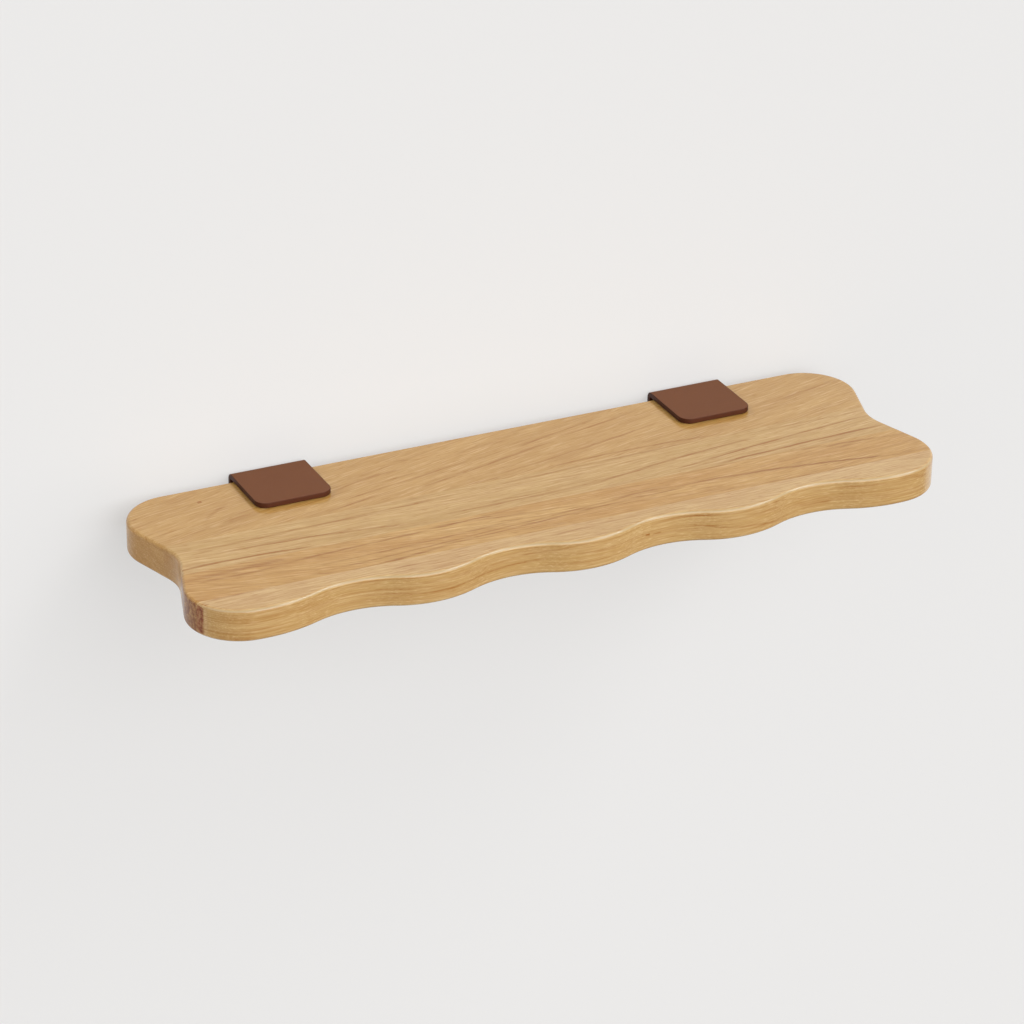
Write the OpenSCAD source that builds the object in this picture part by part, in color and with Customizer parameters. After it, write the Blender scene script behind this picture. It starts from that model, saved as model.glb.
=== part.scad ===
// Wall shelf: a wavy-edged board, edge-glued from four wooden staves, held in two bent sheet-metal brackets.
// X runs along the wall, -Y points away from it and +Z is up. The wall is the plane y = 0.
// The origin lies on the wall, midway between the brackets, at the height of the wall screws.

/* [Board] */
// Length of the board along the wall
board_length = 600; // [520:5:800]
// Depth of the board, from its straight back edge to the front crests
board_depth = 192; // [185:1:240]
// Thickness of the board
board_thickness = 25; // [18:1:40]

/* [Outline] */
// Radius of the two back corners
back_corner_radius = 38; // [30:1:48]
// Radius of the two front corners
front_corner_radius = 40; // [30:1:48]
// How far each end is drawn in at its waist
waist_depth = 14; // [8:0.5:18]
// Radius of the waist's arc, as a share of the widest arc that fits between the two corners
waist_share = 0.5; // [0.3:0.05:0.95]
// Height of the front waves, from trough to crest
wave_height = 12.5; // [8:0.5:14]
// Number of crests between the two corner crests
crest_count = 3; // [2:1:4]
// Distance from the end of the board to its corner crest
corner_crest_inset = 46; // [42:1:56]
// How much farther than one wave the corner crest lies from the next crest
corner_crest_stretch = 6; // [0:1:12]

/* [Staves] */
// Width of the front stave, from its glue joint to the crests
front_stave_width = 27; // [20:1:40]
// Width of the stave behind it
front_middle_stave_width = 42; // [25:1:60]
// Width of the next stave; the back stave takes the rest of the board
rear_middle_stave_width = 45; // [25:1:60]

/* [Brackets] */
// Distance between the middles of the two brackets
bracket_spacing = 350; // [260:5:400]
// Width of a bracket along the wall
bracket_width = 60; // [54:1:90]
// How far the bracket's flanges reach out from the wall
bracket_reach = 60; // [50:1:80]
// Thickness of the sheet
sheet = 4; // [3:0.5:5]
// Inside radius of the two bends
bend_radius = 1.5; // [1:0.5:2.5]
// Radius of the flanges' front corners
flange_corner_radius = 9; // [4:1:15]
// Clearance between the board's top face and the top flange
slot_clearance = 0.3; // [0.1:0.1:1]
// Gap between the back plate and the board, which the heads of the wall screws need
back_gap = 4; // [4:0.5:8]

/* [Wall screws] */
// Distance of the screws from the bracket's side edges
wall_screw_inset = 10; // [8:1:15]
// Outside diameter of the thread
wall_screw_diameter = 5; // [4:0.5:6]
// Length of the screw behind the wall's surface
wall_screw_embedment = 46; // [30:1:70]
// Diameter of the head
wall_screw_head_diameter = 9.5; // [8:0.5:12]
// Height of the head
wall_screw_head_height = 3.2; // [2.5:0.1:3.6]

/* [Board screws] */
// Distance of the screws from the bracket's side edges
board_screw_inset = 15; // [9:1:20]
// Distance of the screws from the wall
board_screw_setback = 34; // [24:1:38]
// Outside diameter of the thread
board_screw_diameter = 4; // [3:0.5:5]
// Length of the screw inside the board
board_screw_depth = 12; // [8:1:14]
// Diameter of the head
board_screw_head_diameter = 8; // [7:0.5:10]
// Height of the head
board_screw_head_height = 2.6; // [2:0.1:3.5]

/* [Fits] */
// Radial clearance of a screw in its hole through the sheet
hole_clearance = 0.25; // [0.1:0.05:0.5]
// Radial clearance between a thread and its pilot hole in the board
pilot_clearance = 0.05; // [0.02:0.01:0.1]
// How far a screw's plain neck is thinner than its thread, on the radius
neck_relief = 0.3; // [0.1:0.1:0.6]

/* [Hidden] */
$fn = 64;
cut = 1;                       // overshoot of every cutting shape
wood = "#cfa678";
dark_wood = "#c1935f";
coating = "#7b5540";
steel = "#b9bcc0";

// Heights and depths
board_top = board_thickness / 2;
board_bottom = -board_thickness / 2;
board_back = -(sheet + back_gap);
slot_bottom = board_bottom;
slot_top = board_top + slot_clearance;

// Glue joints between the staves, as distances from the board's back edge
joint_3 = board_depth - front_stave_width;
joint_2 = joint_3 - front_middle_stave_width;
joint_1 = joint_2 - rear_middle_stave_width;

// The outline is one chain of tangent arcs, with straight flanks on both sides of each waist.
// Points are given from the middle of the board's back edge.
half_length = board_length / 2;
corner_crest_x = half_length - corner_crest_inset;
pitch = 2 * (corner_crest_x - corner_crest_stretch) / (crest_count + 1);
wave_radius = (pitch * pitch / 4 + wave_height * wave_height) / (4 * wave_height);
last_trough_x = crest_count * pitch / 2;
corner_crest_run = corner_crest_x - last_trough_x;
corner_crest_radius = (corner_crest_run * corner_crest_run / wave_height + wave_height) / 2 - wave_radius;

back_corner = [half_length - back_corner_radius, -back_corner_radius];
corner_crest = [corner_crest_x, corner_crest_radius - board_depth];
corner_lean = asin((half_length - front_corner_radius - corner_crest_x)
                   / (corner_crest_radius - front_corner_radius));
front_corner = corner_crest
               + (corner_crest_radius - front_corner_radius) * [sin(corner_lean), -cos(corner_lean)];

// The widest waist arc would touch both corner arcs. A narrower one in the same place leaves a straight
// flank on each side, which touches the corner arc and the waist arc.
flank = back_corner[1] - front_corner[1];
waist_setback = flank / 2 + waist_depth * (back_corner_radius - front_corner_radius) / flank;
widest_waist = (waist_setback * waist_setback + waist_depth * waist_depth) / (2 * waist_depth) - back_corner_radius;
waist_radius = waist_share * widest_waist;
waist = [half_length - waist_depth + waist_radius, back_corner[1] - waist_setback];

// Directions in which neighbouring arcs meet, and in which the flanks face
function heading(from, to) = atan2(to[1] - from[1], to[0] - from[0]);
function flank_turn(corner, radius) = acos((radius + waist_radius) / norm(waist - corner));
back_to_waist = heading(back_corner, waist) + flank_turn(back_corner, back_corner_radius);
front_to_waist = heading(front_corner, waist) - flank_turn(front_corner, front_corner_radius);
crest_to_front = -90 + corner_lean;
wave_lean = asin(pitch / 4 / wave_radius);
corner_wave_lean = asin(corner_crest_run / (corner_crest_radius + wave_radius));

// Wall and board screws, and their distances from the middle of their bracket
wall_screw_x = bracket_width / 2 - wall_screw_inset;
board_screw_x = bracket_width / 2 - board_screw_inset;
wall_thread_radius = wall_screw_diameter / 2;
board_thread_radius = board_screw_diameter / 2;
tip_length = 5;
tip_radius = 0.4;
recess_width = 1;              // width of each slot of the cross recess
recess_share = 0.55;           // length of the slots and their depth, as a share of the head
head_rounding = 0.6;           // rounding of the head's rim, as a share of its height

function crest(i) = [(i - (crest_count - 1) / 2) * pitch, wave_radius - board_depth];
function trough(i) = [(i - crest_count / 2) * pitch, wave_height - board_depth - wave_radius];
function at(centre, radius, angle) = centre + radius * [cos(angle), sin(angle)];
function mirrored(points) = [for (i = [len(points) - 1 : -1 : 0]) [-points[i][0], points[i][1]]];

// Both ends of an arc that bulges outwards, and the corner where the tangents there meet
function bulge(centre, radius, from, to) = [
    at(centre, radius, from),
    at(centre, radius / cos((to - from) / 2), (from + to) / 2),
    at(centre, radius, to)
];

// The board before its corners are rounded and its troughs are cut, for the right-hand end and for the waves
function end_points() = concat(
    bulge(back_corner, back_corner_radius, 90, back_to_waist),
    [at(waist, waist_radius, back_to_waist + 180), at(waist, waist_radius, front_to_waist + 180)],
    bulge(front_corner, front_corner_radius, front_to_waist, crest_to_front),
    bulge(corner_crest, corner_crest_radius, crest_to_front, -90 - corner_wave_lean)
);
function wave_points() = [
    for (i = [crest_count - 1 : -1 : 0]) each bulge(crest(i), wave_radius, -90 + wave_lean, -90 - wave_lean)
];

module wedge(far, from, to) {
    polygon([[0, 0], far * [cos(from), sin(from)], far * [cos(to), sin(to)]]);
}

// What lies outside an arc that bulges outwards, as far as the corner of its tangents
module outside_arc(centre, radius, from, to) {
    translate(centre) difference() {
        wedge(radius / pow(cos((to - from) / 2), 2) + cut, from, to);
        circle(r = radius);
    }
}

// Slice of a disc, which bites an arc into the board
module bite(centre, radius, from, to) {
    translate(centre) intersection() {
        wedge(radius / cos((to - from) / 2) + cut, from, to);
        circle(r = radius);
    }
}

module end_cuts() {
    outside_arc(back_corner, back_corner_radius, back_to_waist, 90);
    outside_arc(front_corner, front_corner_radius, crest_to_front, front_to_waist);
    outside_arc(corner_crest, corner_crest_radius, -90 - corner_wave_lean, crest_to_front);
    bite(waist, waist_radius, back_to_waist + 180, front_to_waist + 180);
}

// Outline of the board, drawn from the middle of its back edge
module board_plan() {
    difference() {
        polygon(concat(end_points(), wave_points(), mirrored(end_points())));
        end_cuts();
        mirror([1, 0]) end_cuts();
        for (i = [0 : crest_count - 1]) outside_arc(crest(i), wave_radius, -90 - wave_lean, -90 + wave_lean);
        for (i = [0 : crest_count])
            bite(trough(i), wave_radius,
                 i == crest_count ? 90 - corner_wave_lean : 90 - wave_lean,
                 i == 0 ? 90 + corner_wave_lean : 90 + wave_lean);
    }
}

// Everything of the board between two distances from its back edge
module stave(from, to) {
    translate([0, board_back, board_bottom]) linear_extrude(board_thickness) intersection() {
        board_plan();
        translate([-half_length - cut, -to]) square([board_length + 2 * cut, to - from]);
    }
}

module back_stave() {
    color(wood) difference() {
        stave(-cut, joint_1);
        for (side = [-1, 1]) for (place = [-1, 1])
            translate([side * bracket_spacing / 2 + place * board_screw_x, -board_screw_setback,
                       board_bottom - cut])
                cylinder(h = board_screw_depth + cut, r = board_thread_radius + pilot_clearance);
    }
}
module rear_middle_stave() { color(wood) stave(joint_1, joint_2); }
module front_middle_stave() { color(dark_wood) stave(joint_2, joint_3); }
module front_stave() { color(wood) stave(joint_3, board_depth + cut); }

// Side view of the bent sheet, drawn with the wall at x = 0 and the room at negative x.
// The block is the channel's outside at inset 0, and the slot in it at an inset of one sheet.
module channel_block(inset, radius) {
    low = slot_bottom - sheet + inset;
    high = slot_top + sheet - inset;
    reach = bracket_reach + (inset > 0 ? cut : 0);
    translate([-reach, low]) square([reach - inset - radius, high - low]);
    translate([-reach, low + radius]) square([reach - inset, high - low - 2 * radius]);
    for (z = [low + radius, high - radius]) translate([-inset - radius, z]) circle(r = radius);
}

module channel_section() {
    difference() {
        channel_block(0, bend_radius + sheet);
        channel_block(sheet, bend_radius);
    }
}

// Plan of both flanges, with their rounded front corners
module flange_plan() {
    corner_y = flange_corner_radius - bracket_reach;
    corner_x = bracket_width / 2 - flange_corner_radius;
    translate([-bracket_width / 2, corner_y]) square([bracket_width, cut - corner_y]);
    translate([-corner_x, -bracket_reach]) square([2 * corner_x, bracket_reach]);
    for (side = [-1, 1]) translate([side * corner_x, corner_y]) circle(r = flange_corner_radius);
}

module bracket(x) {
    color(coating) translate([x, 0, 0]) difference() {
        intersection() {
            translate([-bracket_width / 2 - cut, 0, 0]) rotate([90, 0, 90])
                linear_extrude(bracket_width + 2 * cut) channel_section();
            translate([0, 0, slot_bottom - sheet - cut])
                linear_extrude(slot_top - slot_bottom + 2 * (sheet + cut)) flange_plan();
        }
        for (place = [-1, 1]) {
            translate([place * wall_screw_x, cut, 0]) rotate([90, 0, 0])
                cylinder(h = sheet + 2 * cut, r = wall_thread_radius + hole_clearance);
            translate([place * board_screw_x, -board_screw_setback, slot_bottom - sheet - cut])
                cylinder(h = sheet + 2 * cut, r = board_thread_radius + hole_clearance);
        }
    }
}
module left_bracket() { bracket(-bracket_spacing / 2); }
module right_bracket() { bracket(bracket_spacing / 2); }

// Pan-head screw along +Z: the head's flat underside lies at z = 0, the neck and the thread above it
module pan_screw(head_diameter, head_height, thread_radius, neck_length, thread_length) {
    rounding = head_rounding * head_height;
    slot = recess_share * head_diameter;
    difference() {
        rotate_extrude() {
            translate([0, -head_height]) square([head_diameter / 2 - rounding, head_height]);
            translate([0, rounding - head_height]) square([head_diameter / 2, head_height - rounding]);
            translate([head_diameter / 2 - rounding, rounding - head_height]) intersection() {
                circle(r = rounding);
                translate([0, -rounding]) square(rounding);
            }
        }
        for (turn = [0, 90]) rotate([0, 0, turn])
            translate([-slot / 2, -recess_width / 2, -head_height - cut])
                cube([slot, recess_width, recess_share * head_height + cut]);
    }
    cylinder(h = neck_length, r = thread_radius - neck_relief);
    translate([0, 0, neck_length]) cylinder(h = thread_length - tip_length, r = thread_radius);
    translate([0, 0, neck_length + thread_length - tip_length])
        cylinder(h = tip_length, r1 = thread_radius, r2 = tip_radius);
}

// side and place are -1 or 1: which bracket, and which of its two screws along X
module wall_screw(side, place) {
    x = side * bracket_spacing / 2 + place * wall_screw_x;
    color(steel) translate([x, -sheet, 0]) rotate([-90, 0, 0])
        pan_screw(wall_screw_head_diameter, wall_screw_head_height, wall_thread_radius,
                  sheet, wall_screw_embedment);
}
module left_wall_screw_outer() { wall_screw(-1, -1); }
module left_wall_screw_inner() { wall_screw(-1, 1); }
module right_wall_screw_inner() { wall_screw(1, -1); }
module right_wall_screw_outer() { wall_screw(1, 1); }

module board_screw(side, place) {
    x = side * bracket_spacing / 2 + place * board_screw_x;
    color(steel) translate([x, -board_screw_setback, slot_bottom - sheet])
        pan_screw(board_screw_head_diameter, board_screw_head_height, board_thread_radius,
                  sheet, board_screw_depth);
}
module left_board_screw_outer() { board_screw(-1, -1); }
module left_board_screw_inner() { board_screw(-1, 1); }
module right_board_screw_inner() { board_screw(1, -1); }
module right_board_screw_outer() { board_screw(1, 1); }

back_stave();
rear_middle_stave();
front_middle_stave();
front_stave();
left_bracket();
right_bracket();
left_wall_screw_outer();
left_wall_screw_inner();
right_wall_screw_inner();
right_wall_screw_outer();
left_board_screw_outer();
left_board_screw_inner();
right_board_screw_inner();
right_board_screw_outer();
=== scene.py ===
import math

import bpy
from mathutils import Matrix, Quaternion, Vector


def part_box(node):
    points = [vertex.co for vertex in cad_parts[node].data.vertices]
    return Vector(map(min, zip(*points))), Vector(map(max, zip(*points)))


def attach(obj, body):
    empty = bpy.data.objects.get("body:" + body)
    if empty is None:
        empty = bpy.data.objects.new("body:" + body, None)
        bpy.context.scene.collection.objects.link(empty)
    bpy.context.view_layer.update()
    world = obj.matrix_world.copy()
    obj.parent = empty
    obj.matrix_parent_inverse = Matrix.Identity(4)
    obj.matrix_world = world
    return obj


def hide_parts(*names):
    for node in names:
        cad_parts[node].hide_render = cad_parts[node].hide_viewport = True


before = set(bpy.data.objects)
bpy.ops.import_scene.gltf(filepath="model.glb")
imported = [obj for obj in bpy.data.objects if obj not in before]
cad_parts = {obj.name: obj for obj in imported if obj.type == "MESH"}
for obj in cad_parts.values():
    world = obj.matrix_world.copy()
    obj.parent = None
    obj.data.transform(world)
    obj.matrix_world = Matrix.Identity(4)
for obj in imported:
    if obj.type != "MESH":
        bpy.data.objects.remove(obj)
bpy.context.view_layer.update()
bpy.ops.object.select_all(action="DESELECT")
mm = 0.001

# Board blank: four staves of light hardwood, edge-glued into one panel 25 mm thick. The waisted ends and
# the wavy front are routed to a template, which leaves a chain of tangent arcs with straight flanks beside
# the waists, and both rims are then rounded over with a small radius cutter.
half_length = round(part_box("back_stave")[1].x, 4)
board_back = round(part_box("back_stave")[1].y, 4)
board_front = round(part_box("front_stave")[0].y, 4)
board_bottom, board_top = [round(corner.z, 4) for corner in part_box("back_stave")]
back_corner_radius = 38 * mm
front_corner_radius = 40 * mm
waist_depth = 14 * mm
waist_share = 0.5
wave_height = 12.5 * mm
crest_count = 3
corner_crest_inset = 46 * mm
corner_crest_stretch = 6 * mm
rim_radius = 2.5 * mm
outline_step = 2.2 * mm
tolerance = 0.01 * mm

corner_crest_x = half_length - corner_crest_inset
pitch = 2 * (corner_crest_x - corner_crest_stretch) / (crest_count + 1)
wave_radius = (pitch**2 / 4 + wave_height**2) / (4 * wave_height)
last_trough_x = crest_count * pitch / 2
corner_crest_run = corner_crest_x - last_trough_x
corner_crest_radius = (corner_crest_run**2 / wave_height + wave_height) / 2 - wave_radius
back_corner = Vector((half_length - back_corner_radius, board_back - back_corner_radius))
corner_crest = Vector((corner_crest_x, board_front + corner_crest_radius))
radius_step = corner_crest_radius - front_corner_radius
corner_lean = math.asin((half_length - front_corner_radius - corner_crest_x) / radius_step)
front_corner = corner_crest + radius_step * Vector((math.sin(corner_lean), -math.cos(corner_lean)))

# The widest waist arc would touch both corner arcs. A narrower one leaves a straight flank on each side.
corners_apart = back_corner.y - front_corner.y
waist_setback = corners_apart / 2 + waist_depth * (back_corner_radius - front_corner_radius) / corners_apart
widest_waist = (waist_setback**2 + waist_depth**2) / (2 * waist_depth) - back_corner_radius
waist_radius = waist_share * widest_waist
waist = Vector((half_length - waist_depth + waist_radius, back_corner.y - waist_setback))


def heading(start, end):
    return math.atan2(end.y - start.y, end.x - start.x)


quarter = math.pi / 2
back_turn = math.acos((back_corner_radius + waist_radius) / (waist - back_corner).length)
front_turn = math.acos((front_corner_radius + waist_radius) / (waist - front_corner).length)
back_flank = math.tan(back_turn) * (back_corner_radius + waist_radius)
front_flank = math.tan(front_turn) * (front_corner_radius + waist_radius)
back_to_waist = heading(back_corner, waist) + back_turn
front_to_waist = heading(front_corner, waist) - front_turn
crest_to_front = corner_lean - quarter
wave_lean = math.asin(pitch / 4 / wave_radius)
corner_wave_lean = math.asin(corner_crest_run / (corner_crest_radius + wave_radius))

# Each arc is its centre, its radius and how far the cutter turns round it, anticlockwise from above. A flank
# is its length and the way that the cutter goes straight on.
right_end = [
    (back_corner, back_corner_radius, back_to_waist - quarter),
    (back_flank, back_to_waist - quarter),
    (waist, waist_radius, front_to_waist - back_to_waist),
    (front_flank, front_to_waist - quarter),
    (front_corner, front_corner_radius, crest_to_front - front_to_waist),
    (corner_crest, corner_crest_radius, -quarter - corner_wave_lean - crest_to_front),
]
waves = []
for i in range(crest_count, -1, -1):
    trough = Vector(((i - crest_count / 2) * pitch, board_front + wave_height - wave_radius))
    lean_in = corner_wave_lean if i == crest_count else wave_lean
    lean_out = corner_wave_lean if i == 0 else wave_lean
    waves.append((trough, wave_radius, lean_in + lean_out))
    if i > 0:
        crest = Vector(((i - 1 - (crest_count - 1) / 2) * pitch, board_front + wave_radius))
        waves.append((crest, wave_radius, -2 * wave_lean))


def mirrored(part):
    """An arc or a flank of the right end as it is on the left end, where the cutter goes the other way."""
    if len(part) == 2:
        return part[0], -part[1]
    return Vector((-part[0].x, part[0].y)), part[1], part[2]


def start_point(name, at):
    """A new piece in edit mode with one selected vertex, from which its outline is drawn."""
    bpy.ops.mesh.primitive_plane_add(size=10 * mm)
    piece = bpy.context.object
    piece.name = name
    bpy.ops.object.mode_set(mode="EDIT")
    bpy.ops.mesh.select_mode(type="VERT")
    bpy.ops.mesh.select_all(action="SELECT")
    bpy.ops.mesh.merge(type="CENTER")
    bpy.ops.transform.translate(value=at)
    return piece


left_end = [mirrored(part) for part in reversed(right_end)]
blank = start_point("blank", (back_corner.x, board_back, board_bottom))
for part in right_end + waves + left_end:
    if len(part) == 2:
        run, way = part
        ahead = (run * math.cos(way), run * math.sin(way), 0)
        bpy.ops.mesh.extrude_region_move(TRANSFORM_OT_translate={"value": ahead})
        continue
    centre, radius, turn = part
    steps = math.ceil(radius * abs(turn) / outline_step)
    bpy.ops.mesh.spin(steps=steps, angle=-turn, center=(centre.x, centre.y, board_bottom), axis=(0, 0, 1))
bpy.ops.mesh.select_all(action="SELECT")
bpy.ops.mesh.edge_face_add()
bpy.ops.mesh.extrude_region_move(TRANSFORM_OT_translate={"value": (0, 0, board_top - board_bottom)})
bpy.ops.mesh.select_all(action="SELECT")
bpy.ops.mesh.normals_make_consistent(inside=False)


def pick(piece, kind, wanted):
    """Enters edit mode with those vertices, edges or faces selected for which wanted(their points) holds."""
    bpy.ops.object.mode_set(mode="OBJECT")
    bpy.ops.object.select_all(action="DESELECT")
    bpy.context.view_layer.objects.active = piece
    piece.select_set(True)
    bpy.ops.object.mode_set(mode="EDIT")
    bpy.ops.mesh.select_mode(type=kind)
    bpy.ops.mesh.select_all(action="DESELECT")
    bpy.ops.object.mode_set(mode="OBJECT")
    mesh = piece.data
    items = {"VERT": mesh.vertices, "EDGE": mesh.edges, "FACE": mesh.polygons}[kind]
    for item in items:
        corners = [item.co] if kind == "VERT" else [mesh.vertices[i].co for i in item.vertices]
        item.select = wanted(corners)
    bpy.ops.object.mode_set(mode="EDIT")


def on_rim(corners):
    return any(all(abs(c.z - z) < tolerance for c in corners) for z in (board_bottom, board_top))


pick(blank, "EDGE", on_rim)
bpy.ops.mesh.bevel(offset=rim_radius, segments=6, affect="EDGES", clamp_overlap=False)
bpy.ops.object.mode_set(mode="OBJECT")

# Staves: the blank is cut along its glue joints, so each stave is a piece of its own with square joint
# faces. The back stave has four blind pilot holes in its underside for the brackets' screws.
stave_nodes = ["back_stave", "rear_middle_stave", "front_middle_stave", "front_stave"]
pilot_radius = 2.05 * mm
pilot_depth = 12 * mm


def cut_stave(node):
    piece = blank.copy()
    piece.data = blank.data.copy()
    piece.name = node + "_wood"
    bpy.context.collection.objects.link(piece)
    low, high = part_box(node)
    pick(piece, "FACE", lambda corners: True)
    if node != stave_nodes[-1]:
        bpy.ops.mesh.bisect(plane_co=(0, low.y, 0), plane_no=(0, 1, 0), use_fill=True, clear_inner=True)
        bpy.ops.mesh.select_all(action="SELECT")
    if node != stave_nodes[0]:
        bpy.ops.mesh.bisect(plane_co=(0, high.y, 0), plane_no=(0, 1, 0), use_fill=True, clear_outer=True)
    bpy.ops.object.mode_set(mode="OBJECT")
    return piece


def centre_of(node):
    low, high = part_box(node)
    return (low + high) / 2


def subtract(piece, tool):
    cut = piece.modifiers.new("cut", "BOOLEAN")
    cut.object = tool
    cut.solver = "EXACT"
    bpy.context.view_layer.objects.active = piece
    bpy.ops.object.modifier_apply(modifier=cut.name)
    bpy.data.objects.remove(tool)


def drill(piece, radius, depth, middle, tilt=0.0, sides=40):
    """Cuts a round hole about its middle point, upright or tilted about the shelf's length."""
    bpy.ops.mesh.primitive_cylinder_add(
        vertices=sides, radius=radius, depth=depth, location=middle, rotation=(tilt, 0, 0)
    )
    subtract(piece, bpy.context.object)


staves = {node: cut_stave(node) for node in stave_nodes}
bpy.data.objects.remove(blank)
for side in ("left", "right"):
    for place in ("outer", "inner"):
        screw = centre_of(f"{side}_board_screw_{place}")
        pilot = (screw.x, screw.y, board_bottom)
        drill(staves["back_stave"], pilot_radius, 2 * pilot_depth, pilot, sides=32)


def finish_mesh(piece, smooth_degrees=30):
    """Smooth shading on the roundings only, with the large faces left flat."""
    bpy.ops.object.mode_set(mode="OBJECT")
    bpy.ops.object.select_all(action="DESELECT")
    bpy.context.view_layer.objects.active = piece
    piece.select_set(True)
    bpy.ops.object.shade_smooth_by_angle(angle=math.radians(smooth_degrees))
    normals = piece.modifiers.new("even_normals", "WEIGHTED_NORMAL")
    normals.keep_sharp = True
    bpy.ops.object.modifier_apply(modifier=normals.name)
    bpy.ops.object.select_all(action="DESELECT")


def start_material(name):
    """A new material, and its empty tree of nodes."""
    material = bpy.data.materials.new(name)
    material.use_nodes = True
    material.node_tree.nodes.clear()
    return material, material.node_tree


def linear(code):
    """An sRGB hex value as linear red, green, blue and alpha."""
    parts = [int(code[i : i + 2], 16) / 255 for i in (1, 3, 5)]
    return [c / 12.92 if c <= 0.04045 else ((c + 0.055) / 1.055) ** 2.4 for c in parts] + [1]


def add(tree, kind, inputs, **settings):
    """Adds a node with its settings, and sets or links its inputs, which are named or in the node's order.

    A node that is given as an input is linked from its first output. In order, MapRange takes a value, the
    range that it comes from and the range that it goes to. A Mix of colours has its factor at 0, its colours
    at 6 and 7, and its result at output 2.
    """
    node = tree.nodes.new("ShaderNode" + kind)
    for name, value in settings.items():
        setattr(node, name, value)
    named = inputs if isinstance(inputs, dict) else dict(enumerate(inputs))
    for key, value in named.items():
        source = value.outputs[0] if isinstance(value, bpy.types.Node) else value
        if isinstance(source, bpy.types.NodeSocket):
            tree.links.new(source, node.inputs[key])
        else:
            node.inputs[key].default_value = source
    return node


def grain_noise(tree, at, size, detail=2.0, rough=0.5):
    """Noise drawn out along the grain: size is its length, width and height in mm."""
    spread = add(tree, "Mapping", {"Vector": at, "Scale": [1 / v for v in size]})
    return add(tree, "TexNoise", {"Vector": spread, "Scale": 1.0, "Detail": detail, "Roughness": rough})


def lay_rings(tree, board, along, forward, up, slope, bend, centre, flat_sawn):
    """Where a point lies among the growth rings, and where among the cells, which run along with them.

    The grain wanders slowly, in mm to each side. Points at an equal distance across it lie on one ring, and
    a flat-sawn stave has rings nearly level with its top face.
    """
    wander = 3.5
    slow = grain_noise(tree, board, (90, 26, 40))
    drift = add(tree, "Math", [slow, 2 * wander, -wander], operation="MULTIPLY_ADD")
    from_centre = add(tree, "Math", [along, centre], operation="SUBTRACT")
    lean = add(tree, "Math", [from_centre, bend, slope], operation="MULTIPLY_ADD")
    family = add(tree, "Math", [lean, from_centre, forward], operation="MULTIPLY_ADD")
    wandering = add(tree, "Math", [family, drift], operation="ADD")
    level = add(tree, "Math", [up, flat_sawn], operation="MULTIPLY")
    across = add(tree, "Math", [wandering, min(1.0, 1.5 / flat_sawn), level], operation="MULTIPLY_ADD")
    return add(tree, "CombineXYZ", [along, across, up]), add(tree, "CombineXYZ", [along, wandering, up])


def strong_lines(tree, along, distance, streaks, marks):
    """Adds a stave's strongest growth lines to its marks, with soft edges and ends that fade out.

    A streak is a parabola through three points, then half its width in mm and how dark it is at its middle.
    """
    for (x0, y0), (x1, y1), (x2, y2), half_width, strength in streaks:
        rise = (y1 - y0) / (x1 - x0)
        sag = ((y2 - y0) / (x2 - x0) - rise) / (x2 - x1)
        run = add(tree, "Math", [along, x0], operation="SUBTRACT")
        tangent = add(tree, "Math", [run, sag, rise - sag * (x1 - x0)], operation="MULTIPLY_ADD")
        middle = add(tree, "Math", [tangent, run, y0], operation="MULTIPLY_ADD")
        off = add(tree, "Math", [distance, middle], operation="SUBTRACT")
        square = add(tree, "Math", [off, off], operation="MULTIPLY")
        falling = -strength / half_width**2
        ridge = add(tree, "Math", [square, falling, strength], operation="MULTIPLY_ADD", use_clamp=True)
        ends = add(tree, "Math", [run, 2 / (x2 - x0), -1], operation="MULTIPLY_ADD")
        share = add(tree, "Math", [ends], operation="ABSOLUTE")
        power = add(tree, "Math", [share, 4], operation="POWER")
        fade = add(tree, "Math", [1, power], operation="SUBTRACT", use_clamp=True)
        marks = add(tree, "Math", [ridge, fade, marks], operation="MULTIPLY_ADD")
    return marks


def dull_ends_and_rim_highlight(tree, board, colour, end_tone, facing, endwise):
    """The wood's colour as the edges of the board show it.

    End grain drinks more of the finish, so the ends are duller and redder than the faces. A highlight is
    painted on the front rim, where it turns from the front to the top, as a paler and greyer colour.
    """
    mottle = add(tree, "MapRange", [grain_noise(tree, board, (9, 2.6, 3.4), 3, 0.6), 0.2, 0.6])
    dull = add(tree, "Math", [endwise, mottle], operation="MULTIPLY")
    ends = {0: dull, 6: colour, 7: linear(end_tone)}
    dulled = add(tree, "Mix", ends, data_type="RGBA", blend_type="MULTIPLY").outputs[2]
    # Painted highlight: the rounding that faces forward and up is mixed towards a pale grey tan
    frontwards = add(tree, "Math", [facing.outputs[1], -1], operation="MULTIPLY")
    front_side = add(tree, "MapRange", [frontwards, 0.28, 0.6])
    upwards = add(tree, "MapRange", [facing.outputs[2], 0.25, 0.5, 0, 0.85])
    rim_highlight = add(tree, "Math", [front_side, upwards], operation="MULTIPLY")
    return add(tree, "Mix", {0: rim_highlight, 6: dulled, 7: linear("#b29b74")}, data_type="RGBA").outputs[2]


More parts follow.
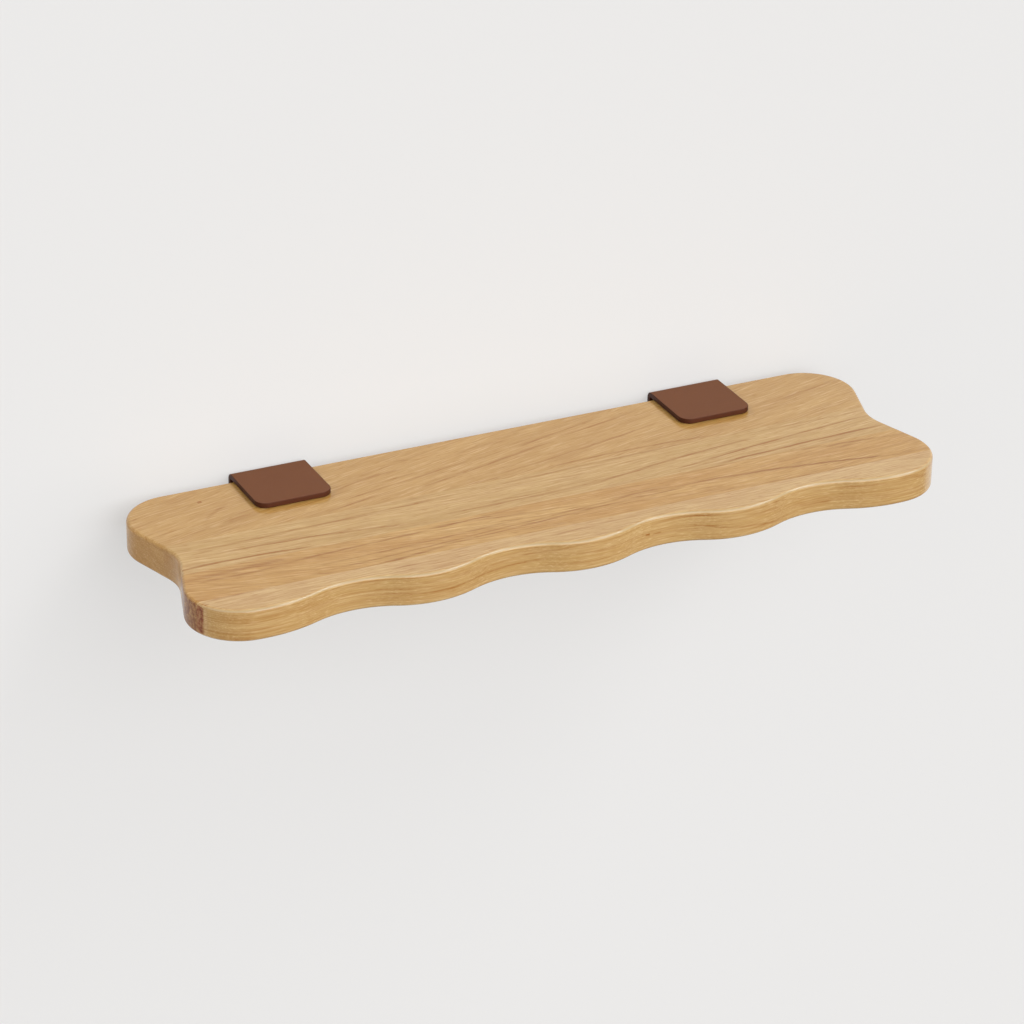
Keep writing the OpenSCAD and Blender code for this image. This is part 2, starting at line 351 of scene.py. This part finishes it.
# Light hardwood such as rubberwood: planed, sanded and sealed with a satin lacquer. To the eye it has honey
# brown growth lines, fine pale and dark fibres, short dark pores, and duller, redder end grain. Pores are
# drawn 2 to 3 times as wide as real ones (0.3 mm), because finer ones would vanish at this distance.
def hardwood(
    name,
    pale,
    deep,
    line,
    end_tone,
    streaks,
    slope=0.0,
    bend=0.0,
    centre=0,
    flat_sawn=1.5,
    band_width=4.4,
    band_share=0.34,
    hair_share=0.32,
    end_from=(0.62, 0.95),
):
    """One stave's wood, from its ground colours, the colour of its lines and the tint of its end grain.

    Its lines slope and bend about a centre in mm along the board. The higher flat_sawn is, the more level
    its rings lie. The shares say how dark broad bands and fine hairs are, and end_from how far a side has
    to face the board's end to show end grain, at first and in full.
    """
    material, tree = start_material(name)

    # Millimetres along the grain, forward from the board's back edge and up from its top face. The pattern
    # is solid, so lines run on over the board's edges.
    place = add(tree, "TexCoord", {})
    corner = (0, board_back / mm, -board_top / mm)
    in_mm = (1 / mm, -1 / mm, 1 / mm)
    board = add(tree, "Mapping", {"Vector": place.outputs["Object"], "Location": corner, "Scale": in_mm})
    along, forward, up = add(tree, "SeparateXYZ", [board]).outputs

    # Every line has a small ripple, in mm to each side
    ripple = 0.8
    quick = grain_noise(tree, board, (22, 7, 12))
    shiver = add(tree, "Math", [quick, 2 * ripple, -ripple], operation="MULTIPLY_ADD")
    rippled = add(tree, "Math", [forward, shiver], operation="ADD")
    grain, cells = lay_rings(tree, board, along, rippled, up, slope, bend, centre, flat_sawn)
    tone = grain_noise(tree, grain, (210, 17, 30), 3)
    band = grain_noise(tree, grain, (90, band_width, 14), 3)
    fibre = grain_noise(tree, cells, (34, 2.2, 1.5), 3, 0.6)
    hair = grain_noise(tree, cells, (26, 1.2, 0.9), 2, 0.6)
    pore = add(tree, "MapRange", [grain_noise(tree, cells, (9, 1.1, 0.8), 1), 0.56, 0.70])

    # Upright faces show the rings edge on, as fine level lines, and their cells cut short
    facing = add(tree, "SeparateXYZ", [add(tree, "NewGeometry", {}).outputs["Normal"]])
    sideways = add(tree, "Math", [facing.outputs[0]], operation="ABSOLUTE")
    level_face = add(tree, "Math", [facing.outputs[2]], operation="ABSOLUTE")
    endwise = add(tree, "MapRange", [sideways, *end_from])
    upright = add(tree, "MapRange", [level_face, 0.8, 0.5])
    edge_on = grain_noise(tree, board, (60, 40, 0.9), 3, 0.65)
    rings = add(tree, "MapRange", [edge_on, 0.45, 0.68, 0, 0.34])
    cell_share = add(tree, "Math", [upright, -0.6, 1], operation="MULTIPLY_ADD")

    # On the front face, the distance that the streaks are placed by is 200 mm at the top and grows downwards
    top_of_front = 200
    lengthwise = add(tree, "Math", [1, endwise], operation="SUBTRACT")
    frontal = add(tree, "Math", [upright, lengthwise], operation="MULTIPLY")
    front_edge = add(tree, "Math", [shiver, 0.6, top_of_front], operation="MULTIPLY_ADD")
    down_front = add(tree, "Math", [front_edge, up], operation="SUBTRACT")
    turned_down = add(tree, "Math", [down_front, rippled], operation="SUBTRACT")
    unrolled = add(tree, "Math", [turned_down, frontal, rippled], operation="MULTIPLY_ADD")

    # The broad bands and the streaks are broken up by the fibres. Finer lines, pores and rings lie over them.
    bands = add(tree, "MapRange", [band, 0.47, 0.80, 0, band_share])
    marks = strong_lines(tree, along, unrolled, streaks, bands)
    broken = add(tree, "Math", [fibre, 2.0, -0.03], operation="MULTIPLY_ADD")
    marks = add(tree, "Math", [marks, broken], operation="MULTIPLY")
    fibre_lines = add(tree, "MapRange", [fibre, 0.44, 0.75])
    hair_lines = add(tree, "MapRange", [hair, 0.47, 0.72])
    lines = add(tree, "Math", [fibre_lines, 0.22], operation="MULTIPLY")
    lines = add(tree, "Math", [hair_lines, hair_share, lines], operation="MULTIPLY_ADD")
    lines = add(tree, "Math", [pore, 0.27, lines], operation="MULTIPLY_ADD")
    marks = add(tree, "Math", [lines, cell_share, marks], operation="MULTIPLY_ADD")
    marks = add(tree, "Math", [rings, upright, marks], operation="MULTIPLY_ADD", use_clamp=True)

    shade = add(tree, "MapRange", [tone, 0.32, 0.68])
    glints = add(tree, "MapRange", [hair, 0.47, 0.30, 0, 0.35])
    base = add(tree, "Mix", {0: shade, 6: linear(pale), 7: linear(deep)}, data_type="RGBA").outputs[2]
    lit = add(tree, "Mix", {0: glints, 6: base, 7: linear("#e0c193")}, data_type="RGBA").outputs[2]
    figured = add(tree, "Mix", {0: marks, 6: lit, 7: linear(line)}, data_type="RGBA").outputs[2]

    # The lacquer's film is thinner on the ends. Fibres stand up a little under it, and pores lie deeper.
    film = add(tree, "Math", [endwise, -0.3, 0.85], operation="MULTIPLY_ADD")
    relief = add(tree, "Math", [pore, -1.0, fibre], operation="MULTIPLY_ADD")
    gloss = add(tree, "Math", [pore, 0.12, 0.40], operation="MULTIPLY_ADD")
    bump = add(tree, "Bump", {"Height": relief, "Strength": 0.3, "Distance": 0.12 * mm})
    surface = add(
        tree,
        "BsdfPrincipled",
        {
            "Base Color": dull_ends_and_rim_highlight(tree, board, figured, end_tone, facing, endwise),
            "Roughness": gloss,
            "IOR": 1.5,
            "Specular IOR Level": 0.1,
            "Normal": bump,
            "Coat Weight": film,
            "Coat Roughness": 0.13,
        },
    )
    add(tree, "OutputMaterial", {"Surface": surface})
    return material


# The points of a streak are mm from the board's middle and mm from its back edge, or numbered from 200 down
# its front. The shortest and darkest ones are small knots. The growth lines slope across the back stave, and
# bow a little in the two middle ones.
back_wood = hardwood(
    "lacquered_hardwood_back",
    pale="#bb9455",
    deep="#af8646",
    line="#955f16",
    end_tone="#fff8f4",
    slope=0.23,
    flat_sawn=1.6,
    hair_share=0.27,
    streaks=[
        ((-22, 70), (40, 59), (132, 38), 1.6, 0.55),
        ((-85, 67), (-20, 51), (50, 33), 1.7, 0.5),
        ((15, 33), (55, 22), (92, 13), 1.7, 0.6),
        ((45, 30), (90, 22), (124, 13), 1.5, 0.45),
        ((-150, 63), (-95, 53), (-40, 41), 1.5, 0.5),
        ((-112, 48), (-95, 45), (-72, 40), 1.3, 0.35),
        ((-143, 46), (-118, 37), (-84, 33), 1.8, 0.55),
        ((-180, 78), (-140, 70), (-95, 62), 1.8, 0.35),
        ((-38, 29), (-18, 22), (10, 20), 2.2, 0.3),
        ((-241.4, 22.2), (-239.5, 22), (-237.6, 21.8), 1.8, 3.4),
        ((-84, 17), (-70, 21), (-55, 25), 1.4, 0.25),
        ((226, 43), (258, 35), (294, 26), 1.5, 0.5),
        ((-238, 61), (-227, 57), (-212, 55), 1.6, 0.45),
        ((-252, 78), (-240, 73), (-226, 70), 1.6, 0.35),
        ((-247, 52), (-236, 42), (-222, 34), 2.6, 0.3),
        ((-276, 74), (-262, 68), (-246, 62), 2.6, 0.25),
        ((-296, 63), (-280, 59), (-262, 55), 1.4, 0.25),
        ((10, 75), (80, 72), (172, 77), 1.5, 0.5),
        ((-50, 76), (-34, 75), (-20, 75), 1.5, 0.3),
    ],
)
rear_middle_wood = hardwood(
    "lacquered_hardwood_rear_middle",
    pale="#bf9c62",
    deep="#b59153",
    line="#955f16",
    end_tone="#f6e4d4",
    bend=0.0002,
    centre=-60,
    hair_share=0.25,
    streaks=[
        ((-290, 93), (-170, 91), (-40, 85), 2.0, 0.4),
        ((-60, 86), (20, 83), (165, 78), 1.6, 0.45),
        ((-274, 103), (-200, 105), (-98, 119), 1.7, 0.55),
        ((-276, 98), (-268, 97), (-258, 97), 1.2, 0.4),
        ((-298, 117), (-245, 116), (-188, 121), 1.8, 0.95),
        ((-92, 112), (-20, 113), (60, 110), 1.8, 0.6),
        ((40, 112), (100, 102), (185, 92), 1.8, 0.6),
        ((-44, 109), (-28, 108), (-12, 111), 1.1, 0.4),
        ((105, 116), (190, 103), (292, 92), 1.6, 0.65),
        ((130, 121), (200, 116), (296, 112), 1.8, 0.95),
        ((186, 84), (230, 84), (292, 84), 1.4, 0.35),
        ((36, 121), (60, 120), (90, 119), 1.5, 0.3),
    ],
)
front_middle_wood = hardwood(
    "lacquered_hardwood_front_middle",
    pale="#c09855",
    deep="#b3843f",
    line="#915b16",
    end_tone="#af846a",
    bend=0.0003,
    centre=90,
    band_share=0.40,
    hair_share=0.40,
    streaks=[
        ((-298, 133), (-262, 132), (-215, 129), 3.2, 0.5),
        ((-290, 139), (-255, 139), (-215, 138), 1.5, 0.4),
        ((-220, 136), (-160, 133), (-105, 131), 1.7, 0.65),
        ((-110, 130), (-65, 128), (-25, 125), 1.5, 0.4),
        ((-210, 149), (-120, 147), (-30, 141), 1.4, 0.4),
        ((-205, 159), (-70, 151), (60, 140), 1.4, 0.45),
        ((40, 140), (62, 140), (90, 139), 1.5, 0.45),
        ((-250, 170), (-175, 166), (-95, 157), 1.8, 0.6),
        ((-105, 157), (-20, 151), (60, 145), 1.4, 0.45),
        ((50, 145), (72, 146), (98, 144), 1.5, 0.45),
        ((80, 141), (190, 148), (275, 163), 1.6, 0.55),
        ((150, 148), (215, 152), (262, 160), 1.3, 0.35),
        ((175, 123), (220, 126), (290, 132), 1.6, 0.35),
        ((100, 160), (180, 164), (280, 166), 1.4, 0.35),
    ],
)
front_wood = hardwood(
    "lacquered_hardwood_front",
    pale="#c4a26d",
    deep="#bb975e",
    line="#965d26",
    end_tone="#b5754b",
    flat_sawn=9,
    band_width=12,
    band_share=0.30,
    hair_share=0.34,
    end_from=(0.868, 0.886),
    streaks=[
        ((-304, 171.4), (-297, 171.3), (-290, 171), 0.8, 1.6),
        ((-305, 169.4), (-298, 169.3), (-292, 169.2), 1.8, 0.4),
        ((-296, 167), (-270, 166), (-240, 166), 1.5, 0.3),
        ((-300, 176), (-262, 178), (-215, 181), 6, 0.13),
        ((-156, 177), (-142, 175), (-128, 177), 1.6, 0.3),
        ((-30, 175), (-8, 174), (12, 173), 1.8, 0.25),
        ((10, 173), (40, 171), (75, 170), 1.4, 0.3),
        ((-292, 205), (-280, 206), (-266, 207), 2.5, 0.21),
        ((-290, 222), (-278, 222), (-262, 222.5), 1.8, 0.26),
        ((-228, 211), (-210, 211.7), (-188, 212.5), 0.9, 0.21),
        ((-185, 203.5), (-160, 203), (-138, 204), 1.5, 0.16),
        ((-176, 211.5), (-160, 211), (-144, 212), 1.6, 0.08),
        ((-142, 212.4), (-110, 212.6), (-75, 211.8), 0.8, 0.22),
        ((-187, 213.3), (-100, 215.4), (-15, 211), 1.0, 0.26),
        ((-92, 211), (-50, 208), (-6, 202.5), 1.0, 0.3),
        ((-4, 211), (10, 211.5), (24, 212), 0.8, 0.21),
        ((45.5, 212.3), (47.5, 212.4), (50, 212.7), 1.1, 1.04),
        ((52, 213), (56, 213.2), (60, 213.2), 0.7, 0.47),
        ((50, 205.5), (75, 204), (104, 204), 1.3, 0.34),
        ((80, 211), (92, 212), (110, 215), 1.2, 0.34),
        ((106, 215), (135, 217.5), (165, 222.5), 1.0, 0.26),
        ((122, 206.5), (140, 208), (162, 209.5), 0.8, 0.29),
        ((145, 203), (160, 205.5), (180, 211), 0.8, 0.23),
        ((174, 215.5), (187, 216.5), (202, 217), 1.6, 0.36),
        ((195, 214), (225, 213.5), (255, 213), 0.9, 0.21),
        ((198, 207), (220, 205.5), (246, 206.5), 1.2, 0.21),
        ((253, 204), (270, 205), (284, 210), 2.0, 0.23),
    ],
)
woods = [back_wood, rear_middle_wood, front_middle_wood, front_wood]
wood_slots = ["light_wood", "light_wood", "amber_wood", "light_wood"]
for node, wood, slot in zip(stave_nodes, woods, wood_slots):
    piece = staves[node]
    piece.data.materials.clear()
    piece.data.materials.append(wood)
    finish_mesh(piece)
    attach(piece, "root")
    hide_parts(node)

# Brackets: each is one blank of 4 mm steel sheet, laser cut with round corners and four holes, bent twice
# into a channel that the board slides into, and powder coated, which softens every cut edge.
sheet = 4 * mm
bend_radius = 1.5 * mm
flange_corner_radius = 9 * mm
coat_radius = 0.5 * mm
wall_hole_radius = 2.75 * mm
board_hole_radius = 2.25 * mm


def bend_bracket(side):
    low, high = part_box(side + "_bracket")
    outer = bend_radius + sheet
    piece = start_point(side + "_bracket_steel", (low.x, low.y, high.z))
    bpy.ops.mesh.extrude_region_move(TRANSFORM_OT_translate={"value": (0, high.y - low.y - outer, 0)})
    bpy.ops.mesh.spin(steps=8, angle=quarter, center=(low.x, high.y - outer, high.z - outer), axis=(1, 0, 0))
    bpy.ops.mesh.extrude_region_move(TRANSFORM_OT_translate={"value": (0, 0, low.z - high.z + 2 * outer)})
    bpy.ops.mesh.spin(steps=8, angle=quarter, center=(low.x, high.y - outer, low.z + outer), axis=(1, 0, 0))
    bpy.ops.mesh.extrude_region_move(TRANSFORM_OT_translate={"value": (0, low.y - high.y + outer, 0)})
    bpy.ops.mesh.select_all(action="SELECT")
    bpy.ops.mesh.extrude_region_move(TRANSFORM_OT_translate={"value": (high.x - low.x, 0, 0)})
    bpy.ops.mesh.select_all(action="SELECT")
    bpy.ops.mesh.normals_make_consistent(inside=False)
    bpy.ops.object.mode_set(mode="OBJECT")
    thicken = piece.modifiers.new("sheet", "SOLIDIFY")
    thicken.thickness = sheet
    thicken.offset = -1
    thicken.use_even_offset = True
    bpy.ops.object.modifier_apply(modifier=thicken.name)

    def flange_corner(corners):
        upright = abs(corners[0].z - corners[1].z) > sheet / 2
        return upright and all(abs(c.y - low.y) < tolerance for c in corners)

    pick(piece, "EDGE", flange_corner)
    bpy.ops.mesh.bevel(offset=flange_corner_radius, segments=12, affect="EDGES", clamp_overlap=False)
    bpy.ops.object.mode_set(mode="OBJECT")
    for place in ("outer", "inner"):
        screw = centre_of(f"{side}_wall_screw_{place}")
        drill(piece, wall_hole_radius, 4 * sheet, (screw.x, high.y, screw.z), tilt=quarter)
        screw = centre_of(f"{side}_board_screw_{place}")
        drill(piece, board_hole_radius, 4 * sheet, (screw.x, screw.y, low.z))
    coat = piece.modifiers.new("coat", "BEVEL")
    coat.width = coat_radius
    coat.segments = 3
    coat.limit_method = "ANGLE"
    coat.angle_limit = math.radians(50)
    bpy.ops.object.modifier_apply(modifier=coat.name)
    finish_mesh(piece, 35)
    return piece


# Powder coat: polyester powder baked to a satin brown film. It flows into a faint orange peel of about
# a millimetre, which breaks up the reflection of the wall on the flat flange. Shade is painted onto the cut
# edges that face front and sideways, and it is darkest along the sides.
powder_coat, tree = start_material("brown_powder_coat")
place = add(tree, "TexCoord", {})
peel = add(tree, "TexNoise", {"Vector": place.outputs["Object"], "Scale": 900, "Detail": 2})
cloud = add(tree, "TexNoise", {"Vector": place.outputs["Object"], "Scale": 60, "Detail": 2})
facing = add(tree, "SeparateXYZ", [add(tree, "NewGeometry", {}).outputs["Normal"]])
# Painted shade: cut edges facing front and sideways are mixed darker, and the sides darker still
cut_side = add(tree, "Math", [facing.outputs[0]], operation="ABSOLUTE")
cut_front = add(tree, "Math", [facing.outputs[1], -1], operation="MULTIPLY")
cut_face = add(tree, "Math", [cut_side, cut_front], operation="MAXIMUM")
painted_edge_shade = add(tree, "Math", [cut_face, 1.5], operation="MULTIPLY", use_clamp=True)
painted_side_shade = add(tree, "Math", [cut_side, 0.6], operation="MULTIPLY")
film = add(tree, "Mix", {0: cloud, 6: linear("#673918"), 7: linear("#6c3d1a")}, data_type="RGBA").outputs[2]
film = add(tree, "Mix", {0: painted_edge_shade, 6: film, 7: linear("#4f2612")}, data_type="RGBA").outputs[2]
film = add(tree, "Mix", {0: painted_side_shade, 6: film, 7: linear("#35170a")}, data_type="RGBA").outputs[2]
satin = add(tree, "Math", [peel, 0.08, 0.46], operation="MULTIPLY_ADD")
bump = add(tree, "Bump", {"Height": peel, "Strength": 0.2, "Distance": 0.05 * mm})
surface = add(
    tree,
    "BsdfPrincipled",
    {"Base Color": film, "Roughness": satin, "IOR": 1.5, "Specular IOR Level": 0.22, "Normal": bump},
)
add(tree, "OutputMaterial", {"Surface": surface})

for side in ("left", "right"):
    bracket = bend_bracket(side)
    bracket.data.materials.clear()
    bracket.data.materials.append(powder_coat)
    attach(bracket, "root")
    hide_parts(side + "_bracket")

# Screws: cold-headed steel wire with a rolled thread and a cross recess, barrel plated with zinc, which is
# pale, bluish and a little uneven in its shine. Four hold the back plates to the wall, and four shorter ones
# go up through the lower flanges into the board.
zinc, tree = start_material("zinc_plated_steel")
place = add(tree, "TexCoord", {})
plating = add(tree, "TexNoise", {"Vector": place.outputs["Object"], "Scale": 700, "Detail": 3})
dull = add(tree, "Math", [plating, 0.16, 0.22], operation="MULTIPLY_ADD")
surface = add(tree, "BsdfPrincipled", {"Base Color": linear("#c3c5c8"), "Metallic": 1.0, "Roughness": dull})
add(tree, "OutputMaterial", {"Surface": surface})


def unite(piece, other):
    weld = piece.modifiers.new("weld", "BOOLEAN")
    weld.operation = "UNION"
    weld.object = other
    weld.solver = "EXACT"
    bpy.context.view_layer.objects.active = piece
    bpy.ops.object.modifier_apply(modifier=weld.name)
    bpy.data.objects.remove(other)


def roll_thread(name, thread_radius, core_radius, thread_pitch, thread_length):
    """A pointed thread, whose top is as far below z = 0 as the bracket is thick."""
    # One ridge and one valley are wound into a helix, which is cut off square at both ends and then tapered.
    # Until it is moved into place, its taper ends at z = 0.
    tip = 5 * mm
    body = thread_length - tip
    piece = start_point(name, (core_radius, 0, -tip - 1.5 * thread_pitch))
    ridge = thread_radius - core_radius
    for out, rise in ((0, 0.5), (ridge, 0.21), (0, 0.08), (-ridge, 0.21)):
        bpy.ops.mesh.extrude_region_move(TRANSFORM_OT_translate={"value": (out, 0, rise * thread_pitch)})
    bpy.ops.object.mode_set(mode="OBJECT")
    helix = piece.modifiers.new("thread", "SCREW")
    helix.steps = 24
    helix.render_steps = 24
    helix.screw_offset = thread_pitch
    helix.iterations = math.ceil(thread_length / thread_pitch) + 3
    helix.use_merge_vertices = True
    helix.merge_threshold = 0.001 * mm
    bpy.ops.object.modifier_apply(modifier=helix.name)
    pick(piece, "VERT", lambda corners: True)
    bpy.ops.mesh.remove_doubles(threshold=0.005 * mm)
    bpy.ops.mesh.normals_make_consistent(inside=False)
    bpy.ops.mesh.bisect(plane_co=(0, 0, -tip), plane_no=(0, 0, 1), use_fill=True, clear_inner=True)
    bpy.ops.mesh.select_all(action="SELECT")
    bpy.ops.mesh.bisect(plane_co=(0, 0, body), plane_no=(0, 0, 1), use_fill=True, clear_outer=True)
    bpy.ops.mesh.select_all(action="SELECT")
    bpy.ops.mesh.normals_make_consistent(inside=False)
    bpy.ops.object.mode_set(mode="OBJECT")
    point = piece.modifiers.new("tip", "SIMPLE_DEFORM")
    point.deform_method = "TAPER"
    point.deform_axis = "Z"
    point.factor = 0.86
    point.limits = (0, tip / thread_length)
    bpy.ops.object.modifier_apply(modifier=point.name)
    pick(piece, "VERT", lambda corners: True)
    bpy.ops.transform.translate(value=(0, 0, -body - sheet))
    bpy.ops.object.mode_set(mode="OBJECT")
    return piece


def press_head(head_radius, head_height):
    """A pan head on z = 0, with a domed rim and a cross recess."""
    bpy.ops.mesh.primitive_cylinder_add(
        vertices=48, radius=head_radius, depth=head_height, location=(0, 0, head_height / 2)
    )
    head = bpy.context.object
    bpy.ops.object.transform_apply(location=True, rotation=True, scale=True)
    pick(head, "EDGE", lambda corners: all(c.z > head_height * 0.9 for c in corners))
    bpy.ops.mesh.bevel(offset=0.55 * head_height, segments=6, affect="EDGES")
    pick(head, "EDGE", lambda corners: all(c.z < tolerance for c in corners))
    bpy.ops.mesh.bevel(offset=0.12 * mm, segments=2, affect="EDGES")
    bpy.ops.object.mode_set(mode="OBJECT")

    # The recess is two tapered wings and a cone, pressed in from the top
    depth = 0.62 * head_height
    for turn in (0, quarter):
        bpy.ops.mesh.primitive_cube_add(size=1, location=(0, 0, head_height), rotation=(0, 0, turn))
        wing = bpy.context.object
        wing.scale = (head_radius * 1.12, head_radius * 0.26, 2 * depth)
        bpy.ops.object.transform_apply(location=True, rotation=True, scale=True)
        pick(wing, "FACE", lambda corners: all(c.z < head_height - depth / 2 for c in corners))
        bpy.ops.transform.resize(value=(0.5, 0.5, 1), center_override=(0, 0, head_height))
        bpy.ops.object.mode_set(mode="OBJECT")
        subtract(head, wing)
    bpy.ops.mesh.primitive_cone_add(
        vertices=24,
        radius1=head_radius * 0.05,
        radius2=head_radius * 0.42,
        depth=2.2 * depth,
        location=(0, 0, head_height),
    )
    subtract(head, bpy.context.object)
    return head


def make_screw(name, thread_radius, core_radius, thread_pitch, thread_length, head_radius, head_height):
    """A pan-head screw with the bearing face of its head at z = 0 and its shank pointing down."""
    # The plain neck is as long as the bracket is thick, and reaches a little into the thread and the head
    into_thread = 0.4 * mm
    into_head = head_height / 3
    piece = roll_thread(name, thread_radius, core_radius, thread_pitch, thread_length)
    bpy.ops.mesh.primitive_cylinder_add(
        vertices=24,
        radius=core_radius * 1.06,
        depth=sheet + into_head + into_thread,
        location=(0, 0, (into_head - sheet - into_thread) / 2),
    )
    unite(piece, bpy.context.object)
    unite(piece, press_head(head_radius, head_height))
    finish_mesh(piece, 32)
    piece.data.materials.clear()
    piece.data.materials.append(zinc)
    return piece


def drive_screw(pattern, node, at, lie, turn):
    """A copy of the screw with its own mesh, turned as far as it was driven, in its place."""
    piece = pattern.copy()
    piece.data = pattern.data.copy()
    piece.name = node + "_steel"
    bpy.context.collection.objects.link(piece)
    bpy.context.view_layer.objects.active = piece
    piece.select_set(True)
    piece.rotation_mode = "QUATERNION"
    piece.rotation_quaternion = Quaternion((1, 0, 0), lie) @ Quaternion((0, 0, 1), math.radians(turn))
    piece.location = at
    bpy.ops.object.transform_apply(location=True, rotation=True, scale=True)
    piece.rotation_mode = "XYZ"
    bpy.ops.object.select_all(action="DESELECT")
    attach(piece, "root")
    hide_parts(node)


wall_screw = make_screw(
    "wall_screw",
    thread_radius=2.5 * mm,
    core_radius=1.65 * mm,
    thread_pitch=2.4 * mm,
    thread_length=45.9 * mm,
    head_radius=4.75 * mm,
    head_height=3.2 * mm,
)
board_screw = make_screw(
    "board_screw",
    thread_radius=2 * mm,
    core_radius=1.3 * mm,
    thread_pitch=1.8 * mm,
    thread_length=11.9 * mm,
    head_radius=4 * mm,
    head_height=2.6 * mm,
)

# The degrees at which each screw stopped turning when it was tight
turns = iter((18, 64, 41, 7, 52, 29, 77, 12))
for side in ("left", "right"):
    for place in ("outer", "inner"):
        node = f"{side}_wall_screw_{place}"
        middle = centre_of(node)
        drive_screw(wall_screw, node, (middle.x, -sheet, middle.z), quarter, next(turns))
        node = f"{side}_board_screw_{place}"
        middle = centre_of(node)
        drive_screw(board_screw, node, (middle.x, middle.y, board_bottom - sheet), math.pi, next(turns))
bpy.data.objects.remove(wall_screw)
bpy.data.objects.remove(board_screw)


# Wall: smooth plaster in matt off-white paint. It is seen only from the room, so that a view from behind
# shows the brackets' backs and the screws. The camera and glossy rays see the wall's own colour with only
# part of the shadow, as on a brightly lit white wall.
def matt_paint(name, code, shadow_share):
    material, tree = start_material(name)
    matt = add(tree, "BsdfDiffuse", {"Color": linear(code)})
    plain = add(tree, "Emission", {"Color": linear(code), "Strength": 1.0})
    ray = add(tree, "LightPath", {})
    camera_or_gloss = [ray.outputs["Is Camera Ray"], ray.outputs["Is Glossy Ray"]]
    seen = add(tree, "Math", camera_or_gloss, operation="MAXIMUM")
    share = add(tree, "Math", [seen, 1 - shadow_share], operation="MULTIPLY")
    shown = add(tree, "MixShader", [share, matt, plain])

    # A ray that starts within a millimetre comes from a piece that touches the wall
    place = add(tree, "NewGeometry", {})
    touching = add(tree, "Math", [ray.outputs["Ray Length"], 1 * mm], operation="LESS_THAN")
    open_side = add(tree, "Math", [place.outputs["Backfacing"], touching], operation="MAXIMUM")
    clear = add(tree, "BsdfTransparent", {})
    either = add(tree, "MixShader", [open_side, shown, clear])
    add(tree, "OutputMaterial", {"Surface": either})
    return material


wall_size = 12
behind_brackets = 0.2 * mm
bpy.ops.mesh.primitive_plane_add(size=wall_size, location=(0, behind_brackets, 0), rotation=(quarter, 0, 0))
wall = bpy.context.object
wall.name = "wall"
bpy.ops.object.transform_apply(location=True, rotation=True, scale=True)
wall.data.materials.append(matt_paint("matt_wall_paint", "#e4e3e2", shadow_share=0.35))


# Light: a broad softbox low in front, a smaller and weaker one high on the right, a faint broad one low on
# the left, and a pale room all round that is brighter above than below.
def direction(azimuth, elevation):
    """The way out from the shelf, in degrees to the right of straight ahead and above level."""
    a, e = math.radians(azimuth), math.radians(elevation)
    return Vector((math.sin(a) * math.cos(e), -math.cos(a) * math.cos(e), math.sin(e)))


def softbox(name, azimuth, elevation, spread, level):
    """A lamp so far off that it lights the whole wall alike. Level 1 shows a colour as it is written."""
    away = direction(azimuth, elevation)
    lamp = bpy.data.lights.new(name, "SUN")
    lamp.angle = math.radians(spread)
    lamp.energy = level * math.pi
    holder = bpy.data.objects.new(name, lamp)
    holder.location = away * 3
    holder.rotation_mode = "QUATERNION"
    holder.rotation_quaternion = away.to_track_quat("Z", "Y")
    bpy.context.collection.objects.link(holder)


softbox("front_softbox", azimuth=14, elevation=17, spread=60, level=0.80)
softbox("right_softbox", azimuth=62, elevation=47, spread=26, level=0.36)
softbox("left_softbox", azimuth=-65, elevation=15, spread=70, level=0.22)
room = bpy.data.worlds.new("room")
bpy.context.scene.world = room
room.use_nodes = True
room.node_tree.nodes.clear()
tree = room.node_tree
way = add(tree, "TexCoord", {})
height = add(tree, "SeparateXYZ", [way.outputs["Generated"]])
brightness = add(
    tree,
    "MapRange",
    {"Value": height.outputs[2], "From Min": -0.3, "From Max": 0.3, "To Min": 0.16, "To Max": 0.38},
)
pale = add(tree, "Background", {"Color": linear("#fbfaf8"), "Strength": brightness})
plain = add(tree, "Background", {"Color": linear("#edecea"), "Strength": 1.0})
ray = add(tree, "LightPath", {})
seen = add(tree, "MixShader", [ray.outputs["Is Camera Ray"], pale, plain])
add(tree, "OutputWorld", {"Surface": seen})
bpy.context.scene.view_settings.view_transform = "Standard"

# Camera: at the photograph's angle, with a long lens, so that the shelf shows little perspective. It aims
# between the brackets, a little below the board, and is rolled by just under a degree.
view_azimuth = -26.01
view_elevation = 26.97
view_roll = 0.876
view_distance = 2.85
focal_length = 132.4
sensor_width = 36
aim = Vector((2.79, -54.78, -34.32)) * mm
back = direction(view_azimuth, view_elevation)
lens = bpy.data.cameras.new("camera")
lens.sensor_width = sensor_width
lens.lens = focal_length
camera = bpy.data.objects.new("camera", lens)
camera.location = aim + back * view_distance
camera.rotation_mode = "QUATERNION"
camera.rotation_quaternion = (-back).to_track_quat("-Z", "Y") @ Quaternion((0, 0, 1), math.radians(view_roll))
bpy.context.collection.objects.link(camera)
bpy.context.scene.camera = camera
